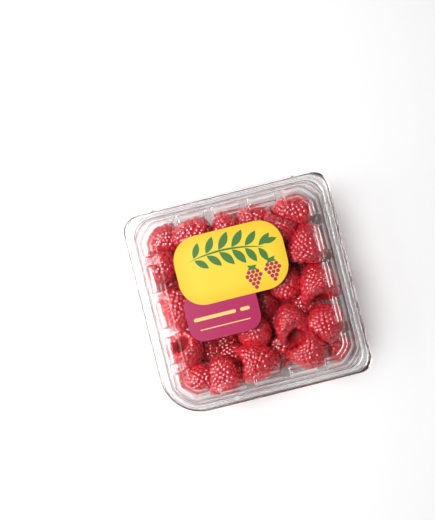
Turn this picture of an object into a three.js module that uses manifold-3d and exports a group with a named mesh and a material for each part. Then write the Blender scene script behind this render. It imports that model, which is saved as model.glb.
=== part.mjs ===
// A clear plastic box of raspberries: a tray, a hinged lid shut on it, a heap of fruit and a sticker.
// Sizes are in millimetres. +Z is up, +Y is the hinge side, the origin is under the middle of the box.

import * as THREE from "three";
import Module from "manifold-3d";

const wasm = await Module();
wasm.setup();

// Driving sizes of the box
const HALF_WIDTH = 63.5;
const HALF_DEPTH = 62.6;
const WALL = 0.45;
const FIT_GAP = 0.35;
const RIM_Z = 33.0;
const PANEL_Z = 40.2;
const RIDGE_HEIGHT = 2.8;
const LEDGE_Z = 35.7;
const LID_FLANGE_Z = RIM_Z + FIT_GAP + WALL;

// Corners, in the order front right, back right, back left, front left
const FLANGE_RADII = [8.5, 9, 10, 25];
const RIDGE_CHAMFER = 6;
const RIDGE_INNER_HALF = 49;
const CORNER_STEPS = 4;

// The raised ridge round the lid is cut by four notches a side
const NOTCH_CENTRES = [-32.9, -10.95, 10.95, 32.9];
const NOTCH_HALF = 2.55;
const NOTCH_SLOPE = 1.2;
const NOTCH_UNDERSIDE_SHIFT = 0.35;

// Vertical flutes that stiffen the tray's walls
const FLUTE_CENTRES = [-25, -8.5, 8.5, 25];
const FLUTE_HALF = 3.6;
const FLUTE_SLOPE = 1.4;
const FLUTE_DEPTH = 1.1;

// The tray's raised floor, its flat foot and its leaning wall, from the middle outwards
const FLOOR_HALF = 40;
const FLOOR_RISE = 2;
const FOOT_HALVES = [41.6, 48];
const WALL_FOOT = [50, 1.9];
const WALL_TOP = [56.3, 28];
const RIM_BEAD = 1.9;

// The two buttons on the front ledge that snap the lid shut
const BUTTON_X = 18.7;
const BUTTON_Y = -59.3;
const BUTTON_RADIUS = 1.7;
const BUTTON_FLATNESS = 0.7;

// The hinge is a curled strip of thin film between the two back flanges
const HINGE_FILM = 0.3;
const HINGE_RADIUS = (LID_FLANGE_Z - RIM_Z + WALL) / 2 + 0.025;
const HINGE_Y = HALF_DEPTH - HINGE_RADIUS;
const HINGE_Z = (LID_FLANGE_Z + RIM_Z - WALL) / 2;
const HINGE_HALF_LENGTH = 44;
const BACK_FLANGE = HINGE_Y - 0.3;

// The fruit: a resting floor under it and a shut lid over it
const FRUIT_FLOOR = 3.9;
const FRUIT_CLEARANCE = 0.5;
const BERRY_SEGMENTS = 9;
const CUP_SEGMENTS = 7;
const LOWER_PITCH = 20.6;
const LOWER_ROWS = [-2, -1, 0, 1, 2];

// The berries that show from above, and those just under the sticker, each as
// [x, y, top, length, width, heading of the tip, lean of the tip from upright, open end shows]
const UPPER_BERRIES = [
  [-42, 44.5, 34, 18, 18, 180, 80, 0],
  [-25.5, 43.5, 38.6, 25, 19, 180, 86, 0],
  [-2.8, 43.5, 38, 20, 18.5, 90, 76, 0],
  [15.5, 43, 35, 20, 20, 20, 60, 0],
  [37.5, 43, 37.8, 23, 18, 165, 82, 0],
  [29, 34, 35.5, 19, 19, 235, 120, 1],
  [40.5, 23, 39, 23, 25, 190, 86, 0],
  [-44.5, 28.5, 38.8, 20, 22, 0, 80, 0],
  [-43, 0.5, 39, 26, 21.5, 275, 84, 0],
  [-43, -25.3, 38.8, 20, 21.5, 300, 140, 1],
  [-41.5, -43.3, 36.5, 18, 17, 190, 80, 0],
  [-26, -42.5, 38.8, 23, 22, 85, 74, 0],
  [-2.5, -42, 38.8, 25, 23, 5, 98, 1],
  [26, -42.3, 38.8, 24, 23, 315, 98, 1],
  [21.5, -22.3, 38.6, 23, 21.5, 96, 112, 1],
  [40.7, -2, 39, 23, 20.5, 92, 102, 1],
  [42.3, -27.8, 39, 23, 20, 100, 78, 0],
  [24.3, 3.5, 34, 20, 20, 80, 55, 0],
  [-0.8, -23, 36.5, 20, 20.5, 60, 18, 0],
  [-25, 24.5, 38, 22, 20, 30, 80, 0],
  [-4, 24.5, 38, 21, 20, 200, 78, 0],
  [14, 20, 36.5, 21, 19, 120, 70, 0],
  [-22, 4, 37.5, 21, 20, 330, 74, 0],
  [-2, 4.5, 36.5, 20, 19, 40, 30, 0],
];

// Berries of the lower layer that show through the gaps between the upper ones, in the same form
const DEEP_BERRIES = [
  [-20, -20.5, 24, 20, 19, 90, 70, 0],
  [-17.5, -34, 26, 19, 18, 20, 60, 0],
  [33, -14, 27, 20, 18, 200, 60, 0],
  [12, -38, 26.5, 20, 18, 100, 50, 0],
  [8.5, -7, 28, 19, 18, 90, 40, 0],
  [42, -44.5, 31, 18, 18, 150, 60, 0],
];

// The sticker on the lid: a wide field with round ends, and a second one below its left side
const STICKER_THICKNESS = 0.25;
const STICKER_GAP = 0.1;
const STICKER_FIELD = { x: -5, y: 20.5, halfX: 33.5, halfY: 21, radius: 15 };
const STICKER_TAB = { x: -17, y: -6.5, halfX: 22, halfY: 15, radius: 9 };

const lerp = (a, b, t) => a + (b - a) * t;

// A repeatable stream of numbers from 0 to 1, by the Lehmer rule
const LEHMER_FACTOR = 16807;
const LEHMER_MODULUS = 2147483647;
function makeRandom(seed) {
  let state = seed;
  return () => {
    state = (state * LEHMER_FACTOR) % LEHMER_MODULUS;
    return state / LEHMER_MODULUS;
  };
}

// Places round the box, counter-clockwise from the front side. Each is on a straight side, with its
// distance along it, or on a corner, with its share of the turn. mask is 1 on a crest, 0 in a cut.
function sidePlaces(centres, half, slope) {
  const places = [];
  for (const centre of centres) {
    places.push({ along: centre - half - slope, mask: 1, away: -1 });
    places.push({ along: centre - half, mask: 0, away: -1 });
    places.push({ along: centre + half, mask: 0, away: 1 });
    places.push({ along: centre + half + slope, mask: 1, away: 1 });
  }
  return places;
}

function places(centres, half, slope) {
  const list = [];
  for (let side = 0; side < 4; side++) {
    for (const place of sidePlaces(centres, half, slope)) list.push({ side, ...place });
    for (let step = 0; step <= CORNER_STEPS; step++) {
      list.push({ side, turn: step / CORNER_STEPS, mask: 1, away: 0 });
    }
  }
  return list;
}

// The direction that side 0 front, 1 right, 2 back or 3 left faces
function facing(side) {
  const angle = (side - 1) * Math.PI / 2;
  return [Math.round(Math.cos(angle)), Math.round(Math.sin(angle))];
}

// One point of a ring. halves are the distances of the four sides from the middle, and bend goes
// from 0, a cut corner as on the ridge, to 1, a round corner as on the flange.
function ringPoint(place, halves, bend, z, shift) {
  const here = facing(place.side);
  const next = facing((place.side + 1) % 4);
  const halfHere = halves[place.side];
  if (place.turn === undefined) {
    const along = place.along + place.away * shift;
    return [here[0] * halfHere + next[0] * along, here[1] * halfHere + next[1] * along, z];
  }
  const growth = (Math.min(...halves) - RIDGE_INNER_HALF) * (2 - Math.SQRT2);
  const leg = lerp(RIDGE_CHAMFER + Math.max(growth, 0), FLANGE_RADII[place.side], bend);
  const angle = place.turn * Math.PI / 2;
  const a = lerp(1 - place.turn, Math.cos(angle), Math.min(1, bend * 2));
  const b = lerp(place.turn, Math.sin(angle), Math.min(1, bend * 2));
  const alongHere = halfHere - leg + leg * a;
  const alongNext = halves[(place.side + 1) % 4] - leg + leg * b;
  return [here[0] * alongHere + next[0] * alongNext, here[1] * alongHere + next[1] * alongNext, z];
}

// The profile of [half, z] points moved sideways by the wall thickness, with mitred corners
function offsetProfile(profile, distance) {
  const normals = [];
  for (let i = 0; i + 1 < profile.length; i++) {
    const dx = profile[i + 1][0] - profile[i][0];
    const dz = profile[i + 1][1] - profile[i][1];
    const length = Math.hypot(dx, dz);
    normals.push([dz / length, -dx / length]);
  }
  return profile.map(([half, z], i) => {
    const before = normals[Math.max(i - 1, 0)];
    const after = normals[Math.min(i, normals.length - 1)];
    const scale = distance / (1 + before[0] * after[0] + before[1] * after[1]);
    return [half + (before[0] + after[0]) * scale, z + (before[1] + after[1]) * scale];
  });
}

// A ring grid from the middle outwards, for one face of a shell. crest is the profile where mask is
// 1 and cut the one where it is 0.
function ringGrid(list, crest, cut, bends, edge, shift) {
  return crest.map((point, i) => list.map((place) => {
    const half = lerp(cut[i][0], point[0], place.mask);
    const z = lerp(cut[i][1], point[1], place.mask);
    const last = i === crest.length - 1;
    const halves = last ? edge : [half, half, half, half];
    return ringPoint(place, halves, bends[i], z, shift);
  }));
}

// A closed solid from an upper and a lower grid of rings, with both middles filled
function solidBetween(upper, lower) {
  const vertices = [];
  const triangles = [];
  const count = upper[0].length;
  const start = [0, (upper.length * count + 1)];
  for (const grid of [upper, lower]) {
    for (const ring of grid) vertices.push(...ring);
    vertices.push([0, 0, grid[0][0][2]]);
  }
  const middles = [upper.length * count, start[1] + lower.length * count];
  const quad = (a, b, c, d) => triangles.push([a, b, c], [a, c, d]);
  for (let j = 0; j < count; j++) {
    const k = (j + 1) % count;
    for (let i = 0; i + 1 < upper.length; i++) {
      quad(i * count + j, (i + 1) * count + j, (i + 1) * count + k, i * count + k);
    }
    for (let i = 0; i + 1 < lower.length; i++) {
      const low = start[1] + i * count;
      quad(low + k, low + count + k, low + count + j, low + j);
    }
    const top = (upper.length - 1) * count;
    const bottom = start[1] + (lower.length - 1) * count;
    quad(top + j, bottom + j, bottom + k, top + k);
    triangles.push([middles[0], j, k]);
    triangles.push([middles[1], start[1] + k, start[1] + j]);
  }
  return toManifold(vertices, triangles);
}

function toManifold(vertices, triangles) {
  const mesh = new wasm.Mesh({
    numProp: 3,
    vertProperties: new Float32Array(vertices.flat()),
    triVerts: new Uint32Array(triangles.flat()),
  });
  return new wasm.Manifold(mesh);
}

// A closed mesh from three.js geometry, with only positions and with shared corners joined
function geometryToManifold(geometry) {
  const position = geometry.getAttribute("position");
  const index = geometry.getIndex();
  const keys = new Map();
  const vertices = [];
  const corner = (i) => {
    const point = [position.getX(i), position.getY(i), position.getZ(i)];
    const key = point.map((value) => Math.round(value * 1e4)).join();
    if (!keys.has(key)) {
      keys.set(key, vertices.length);
      vertices.push(point);
    }
    return keys.get(key);
  };
  const total = index ? index.count : position.count;
  const triangles = [];
  for (let i = 0; i < total; i += 3) {
    const t = [0, 1, 2].map((n) => corner(index ? index.getX(i + n) : i + n));
    if (t[0] !== t[1] && t[1] !== t[2] && t[2] !== t[0]) triangles.push(t);
  }
  return toManifold(vertices, triangles);
}

function toMesh(name, solid, material) {
  const { vertProperties, triVerts, numProp } = solid.getMesh();
  const positions = new Float32Array((vertProperties.length / numProp) * 3);
  for (let i = 0; i < positions.length / 3; i++) {
    for (let axis = 0; axis < 3; axis++) positions[i * 3 + axis] = vertProperties[i * numProp + axis];
  }
  const geometry = new THREE.BufferGeometry();
  geometry.setAttribute("position", new THREE.BufferAttribute(positions, 3));
  geometry.setIndex(new THREE.BufferAttribute(triVerts, 1));
  geometry.computeVertexNormals();
  const mesh = new THREE.Mesh(geometry, material);
  mesh.name = name;
  return mesh;
}

// A thin pressed shell: the upper face is given, the lower one is a wall thickness below it
function shell(list, crest, cut, bends, edge, underShift) {
  const upper = ringGrid(list, crest, cut, bends, edge, 0);
  const lower = ringGrid(
    list, offsetProfile(crest, WALL), offsetProfile(cut, WALL), bends, edge, underShift);
  return solidBetween(upper, lower);
}

const flangeEdge = [HALF_DEPTH, HALF_WIDTH, BACK_FLANGE, HALF_WIDTH];

// Tray: raised floor, a flat foot round it, leaning fluted walls, a rolled rim and a flange
function makeTray() {
  const rimTop = RIM_Z + RIM_BEAD;
  const crest = [
    [FLOOR_HALF, WALL + FLOOR_RISE], ...FOOT_HALVES.map((half) => [half, WALL]), WALL_FOOT, WALL_TOP,
    [57.2, 28.8], [57.6, rimTop], [59.4, rimTop], [59.8, RIM_Z], [HALF_WIDTH, RIM_Z],
  ];
  const cut = crest.map((point) => [...point]);
  cut[crest.indexOf(WALL_FOOT)][0] -= FLUTE_DEPTH;
  const bends = [0.1, 0.1, 0.15, 0.2, 0.4, 0.5, 0.55, 0.6, 0.7, 1];
  const list = places(FLUTE_CENTRES, FLUTE_HALF, FLUTE_SLOPE);
  return shell(list, crest, cut, bends, flangeEdge, 0);
}

// Lid: a flat panel, a raised ridge with notches, a shoulder, a step that closes over the rim
function makeLid() {
  const crestZ = PANEL_Z + RIDGE_HEIGHT;
  const profile = (top) => [
    [48.4, PANEL_Z], [RIDGE_INNER_HALF, PANEL_Z], [50.3, top], [53.3, top], [55.1, PANEL_Z],
    [56.5, PANEL_Z], [58.3, LEDGE_Z], [60.3, LEDGE_Z], [60.9, LID_FLANGE_Z],
    [HALF_WIDTH, LID_FLANGE_Z],
  ];
  const bends = [0, 0, 0, 0, 0.02, 0.1, 0.3, 0.6, 0.7, 1];
  const list = places(NOTCH_CENTRES, NOTCH_HALF, NOTCH_SLOPE);
  let lid = shell(
    list, profile(crestZ), profile(PANEL_Z + 0.05), bends, flangeEdge, NOTCH_UNDERSIDE_SHIFT);
  for (const x of [-BUTTON_X, BUTTON_X]) lid = lid.add(snapButton(x));
  return lid;
}

// A small low dome on the front ledge, cut off inside the thickness of the sheet
function snapButton(x) {
  const dome = new THREE.SphereGeometry(BUTTON_RADIUS, 10, 6);
  dome.rotateX(Math.PI / 2);
  dome.scale(1, 1, BUTTON_FLATNESS);
  dome.translate(x, BUTTON_Y, LEDGE_Z);
  const side = BUTTON_RADIUS * 3;
  const above = new THREE.BoxGeometry(side, side, side);
  above.translate(x, BUTTON_Y, LEDGE_Z + side / 2 - WALL / 2);
  return geometryToManifold(dome).intersect(geometryToManifold(above));
}

// The hinge film: half a thin tube, open towards the box
function makeHinge() {
  const steps = 6;
  const outline = new THREE.Shape();
  const at = (radius, step) => {
    const angle = -Math.PI / 2 + (step / steps) * Math.PI;
    return [HINGE_Y + radius * Math.cos(angle), HINGE_Z + radius * Math.sin(angle)];
  };
  outline.moveTo(...at(HINGE_RADIUS, 0));
  for (let step = 1; step <= steps; step++) outline.lineTo(...at(HINGE_RADIUS, step));
  for (let step = steps; step >= 0; step--) outline.lineTo(...at(HINGE_RADIUS - HINGE_FILM, step));
  const strip = new THREE.ExtrudeGeometry(outline, { depth: HINGE_HALF_LENGTH * 2, bevelEnabled: false });
  strip.translate(0, 0, -HINGE_HALF_LENGTH);
  strip.applyMatrix4(new THREE.Matrix4().makeBasis(
    new THREE.Vector3(0, 1, 0), new THREE.Vector3(0, 0, 1), new THREE.Vector3(1, 0, 0)));
  return geometryToManifold(strip);
}

// The radius of a berry, as a share of its widest, at a share of its length from open end to tip
const WIDEST_AT = 0.34;
function berryRadius(share) {
  if (share > WIDEST_AT) {
    const up = (share - WIDEST_AT) / (1 - WIDEST_AT);
    return Math.pow(1 - Math.pow(up, 2.3), 0.6);
  }
  const down = (WIDEST_AT - share) / WIDEST_AT;
  return Math.sqrt(1 - 0.5 * Math.pow(down, 2.6));
}

// One berry with few sides, its tip turned from upright by lean towards heading
function makeBerry([x, y, top, length, width, heading, lean, open], random) {
  const shares = [0, 0.15, 0.45, 0.78];
  const points = [];
  for (const share of shares) points.push(new THREE.Vector2(berryRadius(share), share - 0.5));
  const outline = [new THREE.Vector2(0, -0.5), ...points, new THREE.Vector2(0, 0.5)];
  const body = new THREE.LatheGeometry(outline, BERRY_SEGMENTS);
  unevenSkin(body, random);
  body.scale(width / 2, length, width / 2);
  body.rotateX(Math.PI / 2);
  let berry = geometryToManifold(body);
  if (open) berry = berry.subtract(makeCup(length, width));
  const turned = turn(berry, heading, lean);
  const high = turned.boundingBox().max[2];
  return turned.translate([x, y, top - high]);
}

// Each point of the skin moves in or out a little, the same for points that share a place
function unevenSkin(geometry, random) {
  const position = geometry.getAttribute("position");
  const moves = new Map();
  for (let i = 0; i < position.count; i++) {
    const key = [position.getX(i), position.getY(i), position.getZ(i)]
      .map((value) => Math.round(value * 1e3)).join();
    if (!moves.has(key)) moves.set(key, 0.94 + 0.1 * random());
    const move = moves.get(key);
    position.setXYZ(i, position.getX(i) * move, position.getY(i), position.getZ(i) * move);
  }
}

// The hollow that the plug of the fruit leaves: a cone from the open end
function makeCup(length, width) {
  const depth = length * 0.55;
  const cone = new THREE.CylinderGeometry(width * 0.25, width * 0.13, depth * 2, CUP_SEGMENTS);
  cone.rotateX(-Math.PI / 2);
  cone.translate(0, 0, -length / 2);
  return geometryToManifold(cone);
}

function turn(solid, heading, lean) {
  const degrees = Math.PI / 180;
  const matrix = new THREE.Matrix4().makeRotationZ(heading * degrees);
  matrix.multiply(new THREE.Matrix4().makeRotationY(lean * degrees));
  return solid.transform(matrix.elements);
}

// The lower layer stands in rows on the floor. A place that a deep berry fills is left out.
function lowerBerries(random) {
  const rows = [];
  for (const column of LOWER_ROWS) {
    for (const row of LOWER_ROWS) {
      const x = column * LOWER_PITCH + (random() - 0.5) * 4;
      const y = row * LOWER_PITCH + (random() - 0.5) * 4;
      const length = 19 + random() * 4;
      const width = 18.5 + random() * 3;
      const heading = random() * 360;
      const lean = 40 + random() * 100;
      const top = 23 + random() * 3;
      const taken = DEEP_BERRIES.some(([dx, dy]) => Math.hypot(dx - x, dy - y) < 12);
      if (!taken) rows.push([x, y, top, length, width, heading, lean, 0]);
    }
  }
  return rows;
}

// A closed body with cut corners through rings of [half, z, corner cut]
function cutCornerBody(rings) {
  const vertices = [];
  for (const [half, z, cut] of rings) {
    for (let side = 0; side < 4; side++) {
      const here = facing(side);
      const next = facing((side + 1) % 4);
      for (const [a, b] of [[half, half - cut], [half - cut, half]]) {
        vertices.push([here[0] * a + next[0] * b, here[1] * a + next[1] * b, z]);
      }
    }
  }
  const count = 8;
  const triangles = [];
  for (let i = 0; i + 1 < rings.length; i++) {
    for (let j = 0; j < count; j++) {
      const k = (j + 1) % count;
      const low = i * count;
      triangles.push([low + j, low + k, low + count + k], [low + j, low + count + k, low + count + j]);
    }
  }
  const last = (rings.length - 1) * count;
  for (let j = 1; j + 1 < count; j++) {
    triangles.push([0, j + 1, j]);
    triangles.push([last, last + j, last + j + 1]);
  }
  return toManifold(vertices, triangles);
}

// The space that the shut box leaves for fruit
function fruitSpace() {
  const gap = FRUIT_CLEARANCE;
  return cutCornerBody([
    [48 - gap, FRUIT_FLOOR, 7],
    [50.4 - gap, 10, 8],
    [54.6 - gap, 27, 9],
    [56.9 - gap, RIM_Z, 10],
    [56.2 - gap, PANEL_Z - WALL - gap, 10],
  ]);
}

// The middle of the heap, which shows only between the berries
function fruitCore() {
  return cutCornerBody([[41, 8, 12], [44, 14, 12], [43, 20, 14], [34, 22, 16]]);
}

function makeBerries() {
  const random = makeRandom(1203);
  const rows = [...UPPER_BERRIES, ...DEEP_BERRIES, ...lowerBerries(random)];
  const solids = rows.map((row) => makeBerry(row, random));
  const heap = wasm.Manifold.union([fruitCore(), ...solids]).intersect(fruitSpace());
  const pieces = heap.decompose().sort((a, b) => b.volume() - a.volume());
  return pieces[0];
}

// The flat outline of a sticker field: a rectangle with round corners
function fieldShape({ x, y, halfX, halfY, radius }) {
  const shape = new THREE.Shape();
  shape.moveTo(x + halfX, y - halfY + radius);
  shape.absarc(x + halfX - radius, y + halfY - radius, radius, 0, Math.PI / 2);
  shape.absarc(x - halfX + radius, y + halfY - radius, radius, Math.PI / 2, Math.PI);
  shape.absarc(x - halfX + radius, y - halfY + radius, radius, Math.PI, Math.PI * 1.5);
  shape.absarc(x + halfX - radius, y - halfY + radius, radius, Math.PI * 1.5, Math.PI * 2);
  return shape;
}

function makeSticker() {
  const options = { depth: STICKER_THICKNESS, bevelEnabled: false, curveSegments: 6 };
  const fields = [STICKER_FIELD, STICKER_TAB].map((field) => {
    const slab = new THREE.ExtrudeGeometry(fieldShape(field), options);
    slab.translate(0, 0, PANEL_Z + STICKER_GAP);
    return geometryToManifold(slab);
  });
  return fields[0].add(fields[1]);
}

const clearPlastic = new THREE.MeshStandardMaterial({
  color: 0xf2f5f5, roughness: 0.08, metalness: 0, transparent: true, opacity: 0.25,
});
const fruitRed = new THREE.MeshStandardMaterial({ color: 0xb81428, roughness: 0.5, metalness: 0 });
const stickerYellow = new THREE.MeshStandardMaterial({ color: 0xfbe032, roughness: 0.45, metalness: 0 });

const punnet = new THREE.Group();
punnet.add(toMesh("tray", makeTray(), clearPlastic));
punnet.add(toMesh("berries", makeBerries(), fruitRed));
punnet.add(toMesh("lid", makeLid(), clearPlastic));
punnet.add(toMesh("hinge", makeHinge(), clearPlastic));
punnet.add(toMesh("sticker", makeSticker(), stickerYellow));

export default punnet;
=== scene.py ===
"""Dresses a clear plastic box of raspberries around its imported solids.

Shapes are worked out in millimetres and become metres when a mesh is made. +Z is up, +Y is the
hinge side and -Y the edge that opens. The tray, the hinge film and the lid are thin pressed sheet,
the fruit is built drupelet by drupelet, and the lid carries a plain printed sticker.
"""

import math
from typing import NamedTuple

import bpy
import numpy as np
from bpy.props import FloatProperty, FloatVectorProperty, IntProperty, PointerProperty
from mathutils import Matrix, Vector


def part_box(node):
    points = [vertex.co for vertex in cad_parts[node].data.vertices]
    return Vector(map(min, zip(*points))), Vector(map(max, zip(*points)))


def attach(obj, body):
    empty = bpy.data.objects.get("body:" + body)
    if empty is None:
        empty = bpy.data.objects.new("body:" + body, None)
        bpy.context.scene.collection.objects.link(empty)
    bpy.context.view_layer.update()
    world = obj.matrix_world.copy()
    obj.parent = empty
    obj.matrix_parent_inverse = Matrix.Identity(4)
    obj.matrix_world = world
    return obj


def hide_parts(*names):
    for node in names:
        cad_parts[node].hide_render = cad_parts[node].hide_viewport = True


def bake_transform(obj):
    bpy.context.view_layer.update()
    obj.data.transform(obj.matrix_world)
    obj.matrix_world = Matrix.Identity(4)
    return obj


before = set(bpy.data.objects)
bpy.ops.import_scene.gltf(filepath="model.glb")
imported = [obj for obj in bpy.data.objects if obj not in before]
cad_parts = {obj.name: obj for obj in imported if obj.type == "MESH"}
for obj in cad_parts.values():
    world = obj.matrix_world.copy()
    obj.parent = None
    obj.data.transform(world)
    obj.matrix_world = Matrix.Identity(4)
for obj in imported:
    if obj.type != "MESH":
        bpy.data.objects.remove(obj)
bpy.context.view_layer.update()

bl_info = {
    "name": "Berry punnet",
    "version": (1, 0, 0),
    "blender": (4, 5, 0),
    "location": "View3D > Sidebar > Punnet",
    "description": "Dresses a clear hinged punnet of raspberries",
    "category": "Object",
}

MM = 0.001

# Sizes of the box, in millimetres. Those of its outer edges come from its solids
LID_LOW, LID_HIGH = (np.array(corner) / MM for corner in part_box("lid"))
HINGE_LOW, HINGE_HIGH = (np.array(corner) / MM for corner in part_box("hinge"))
WALL = 0.45
FIT_GAP = 0.35
FILM = 0.3
STICKER_GAP = 0.1
HALF_WIDTH = LID_HIGH[0]
HALF_DEPTH = -LID_LOW[1]
BACK_FLANGE = LID_HIGH[1]
RIDGE_TOP = LID_HIGH[2]
PANEL_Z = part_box("sticker")[0][2] / MM - STICKER_GAP
RIM_Z = LID_LOW[2] - FIT_GAP
LEDGE_Z = RIM_Z + 2.7
RIM_BEAD = 1.9
LID_FLANGE_Z = LID_LOW[2] + WALL
FLANGE_EDGES = np.array([HALF_DEPTH, HALF_WIDTH, BACK_FLANGE, HALF_WIDTH])
FLANGE_START = 60.9
BEAD_HEIGHT = 0.35

# How much slower the sheet's streaks change along it than across it
STREAK_DRIFT = 0.04

# Corners, in the order front right, back right, back left, front left
FLANGE_RADII = np.array([8.5, 9.0, 10.0, 25.0])
RIDGE_CHAMFER = 6.0
RIDGE_INNER_HALF = 49.0
CORNER_STEPS = 14

# Notches in the lid's ridge and flutes in the tray's walls: centres, half width and slope
NOTCHES = (np.array([-32.9, -10.95, 10.95, 32.9]), 2.55, 1.2)
FLUTES = (np.array([-25.0, -8.5, 8.5, 25.0]), 3.6, 1.4)
FLUTE_DEPTH = 1.1
SIDE_SPACING = 2.4

# The two low domes on the front ledge that snap the lid shut
BUTTON_X = 18.7
BUTTON_Y = -59.3
BUTTON_RADIUS = 1.7
BUTTON_FLATNESS = 0.7

# The fruit: a resting floor, the walls that it is pressed against, and the lid over it
FRUIT_FLOOR = 3.2
FRUIT_CEILING = 39.3
WALL_HEIGHTS = [2.5, 28.0, 30.0, 35.0, 39.5]
WALL_LIMITS = [48.9, 56.0, 56.9, 57.2, 55.8]
CORNER_LOSS = 9.0
LOWER_PITCH = 20.6
LOWER_ROWS = [-2, -1, 0, 1, 2]
CORE_RINGS = [[30.0, 5.0], [34.0, 7.0], [35.0, 11.0], [33.0, 15.0], [27.0, 16.0], [1.0, 16.5]]
GOLDEN_ANGLE = math.pi * (3 - math.sqrt(5))


class Berry(NamedTuple):
    """Where a berry lies, in millimetres and degrees. heading is the way that its tip points and
    lean the tip's angle from upright. slant draws the upper side of its rim back, saddle draws
    back the upper and lower sides, and cone narrows it towards the tip."""

    x: float
    y: float
    top: float
    length: float
    width: float
    heading: float
    lean: float
    slant: float = 0.0
    saddle: float = 0.0
    cone: float = 0.15


# The berries that show from above, and those just under the sticker
UPPER_BERRIES = [
    Berry(-42, 44.5, 34, 18, 18, 180, 80, cone=0.1),
    Berry(-25.5, 43, 38.6, 25, 19, 180, 86, cone=0.1),
    Berry(-2.8, 43, 38, 19.5, 18.5, 90, 76),
    Berry(15.5, 43, 35, 20, 20, 20, 60, cone=0.1),
    Berry(37.5, 43, 37.8, 23, 18, 165, 82, cone=0.1),
    Berry(28, 33.5, 38.8, 22, 22, 250, 102, slant=0.25, saddle=0.25),
    Berry(42.3, 22.5, 39, 26, 24, 72, 84, cone=0.45),
    Berry(-44.5, 28.5, 38.8, 20, 22, 0, 80, cone=0.1),
    Berry(-43, 0.5, 39, 26, 21.5, 275, 84),
    Berry(-43, -25.3, 38.8, 21, 21.5, 300, 134, slant=0.1, cone=0.1),
    Berry(-41.5, -43.3, 36.5, 18, 17, 190, 80, cone=0.1),
    Berry(-26, -42.5, 38.8, 23, 22, 85, 74, cone=0.25),
    Berry(-2.5, -42, 38.8, 26, 24, 355, 90, slant=0.15, saddle=0.45),
    Berry(43, -44, 27, 18, 18, 150, 60),
    Berry(29.6, -44.2, 39.2, 21, 23, 304, 84, slant=0.1, saddle=0.4),
    Berry(21.5, -22.3, 38.2, 23, 21.5, 96, 106, slant=0.7, saddle=0.3),
    Berry(43.4, -2.5, 39, 24, 23, 88, 96, slant=0.3, saddle=0.6),
    Berry(43.6, -27.3, 39, 22.5, 22.5, 40, 84, slant=0.05, saddle=0.1),
    Berry(24.3, 3.5, 34, 20, 20, 80, 55, cone=0.2),
    Berry(-0.8, -23, 36.5, 20, 20.5, 60, 18),
    Berry(-25, 24.5, 38, 22, 20, 30, 80),
    Berry(-4, 24.5, 38, 21, 20, 200, 78),
    Berry(14, 20, 36.5, 21, 19, 120, 70),
    Berry(-22, 4, 37.5, 21, 20, 330, 74),
    Berry(-2, 4.5, 36.5, 20, 19, 40, 30),
]

# Berries of the lower layer that show through the gaps between the upper ones
DEEP_BERRIES = [
    Berry(-20, -20.5, 24, 20, 19, 90, 70),
    Berry(-17.5, -34, 26, 19, 18, 20, 60),
    Berry(33, -14, 27, 20, 18, 200, 60),
    Berry(12, -38, 26.5, 20, 18, 100, 50),
    Berry(8.5, -7, 28, 19, 18, 90, 40),
    Berry(-31, -27, 25, 20, 19, 320, 65),
]

# The sticker's print. A leaf is (x, y, turn, half length, half width, bend) and a block (x, y,
# half width, half height, radius), in millimetres, degrees and parts per millimetre
FIELD_BLOCK = (-5.0, 20.5, 33.5, 21.0, 15.0)
FIELD_EDGE_SHARE = (0.98, 0.84, 0.4)
FIELD_FADE = 9 * MM
PRINT_EDGE = 0.12 * MM
PAPER_BACK = (0.75, 0.74, 0.7)
DOT = 1.25
PRINTED_BERRIES = [(6.5, 12.0, 20), (18.5, 14.0, 30)]
BAR_COLOUR = (0.78, 0.52, 0.16)
SPRIG_CENTRE = (-6.5, 29.0)
SPRIG_TURN = -2.0
SPRIG_HALF = 24.0
SPRIG_BEND = -0.006
SPRIG_PAIRS = 6
TAB_BARS = [
    (-22.0, -8.0, 13.0, 1.1, 1.1), (-3.5, -8.0, 3.0, 1.1, 1.1), (-17.0, -14.5, 15.5, 0.35, 0.35),
]

# The photograph's frame and where the box's middle lies in it
IMAGE_WIDTH = 435
IMAGE_HEIGHT = 520
CENTRE_PIXEL = (247.4, 293.9)
PIXELS_PER_MM = 1.6614
BOX_ROLL = 14.0
SENSOR_MM = 36.0

# The studio, in metres but for the floor: the side that the surround is brightest on, the lamps'
# places and sizes, and the strip's share of the key lamp's power
BRIGHT_SIDE = (-0.95, 0.3, 0.0)
FLOOR_HALF = 1500.0
KEY_PLACE, KEY_SIZE = (-0.38, 0.1, 0.78), (0.58, 0.58)
STRIP_PLACE, STRIP_SIZE, STRIP_SHARE = (-0.75, 0.0, 0.3), (0.25, 0.5), 0.08


def colour_setting(name, description, default):
    """A colour to set in the sidebar."""
    return FloatVectorProperty(
        name=name, description=description, default=default, size=3, subtype="COLOR", min=0.0,
        max=1.0)


def length_setting(name, description, default, low, high):
    """A length to set in the sidebar, in metres."""
    return FloatProperty(
        name=name, description=description, default=default, min=low, max=high, unit="LENGTH")


class PunnetSheet(bpy.types.PropertyGroup):
    """The clear sheet that the tray, the hinge and the lid are pressed from."""

    clearness: colour_setting(
        "Tint", "Colour of the light that the sheet lets through", (0.98, 0.975, 0.975))
    roughness: FloatProperty(
        name="Roughness", description="How much the pressed surface scatters a reflection",
        default=0.05, min=0.0, max=1.0, subtype="FACTOR")
    edge_curve: length_setting(
        "Edge curve", "Length of sheet that each pressed edge takes to turn", 0.0007, 0.0001,
        0.002)


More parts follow.
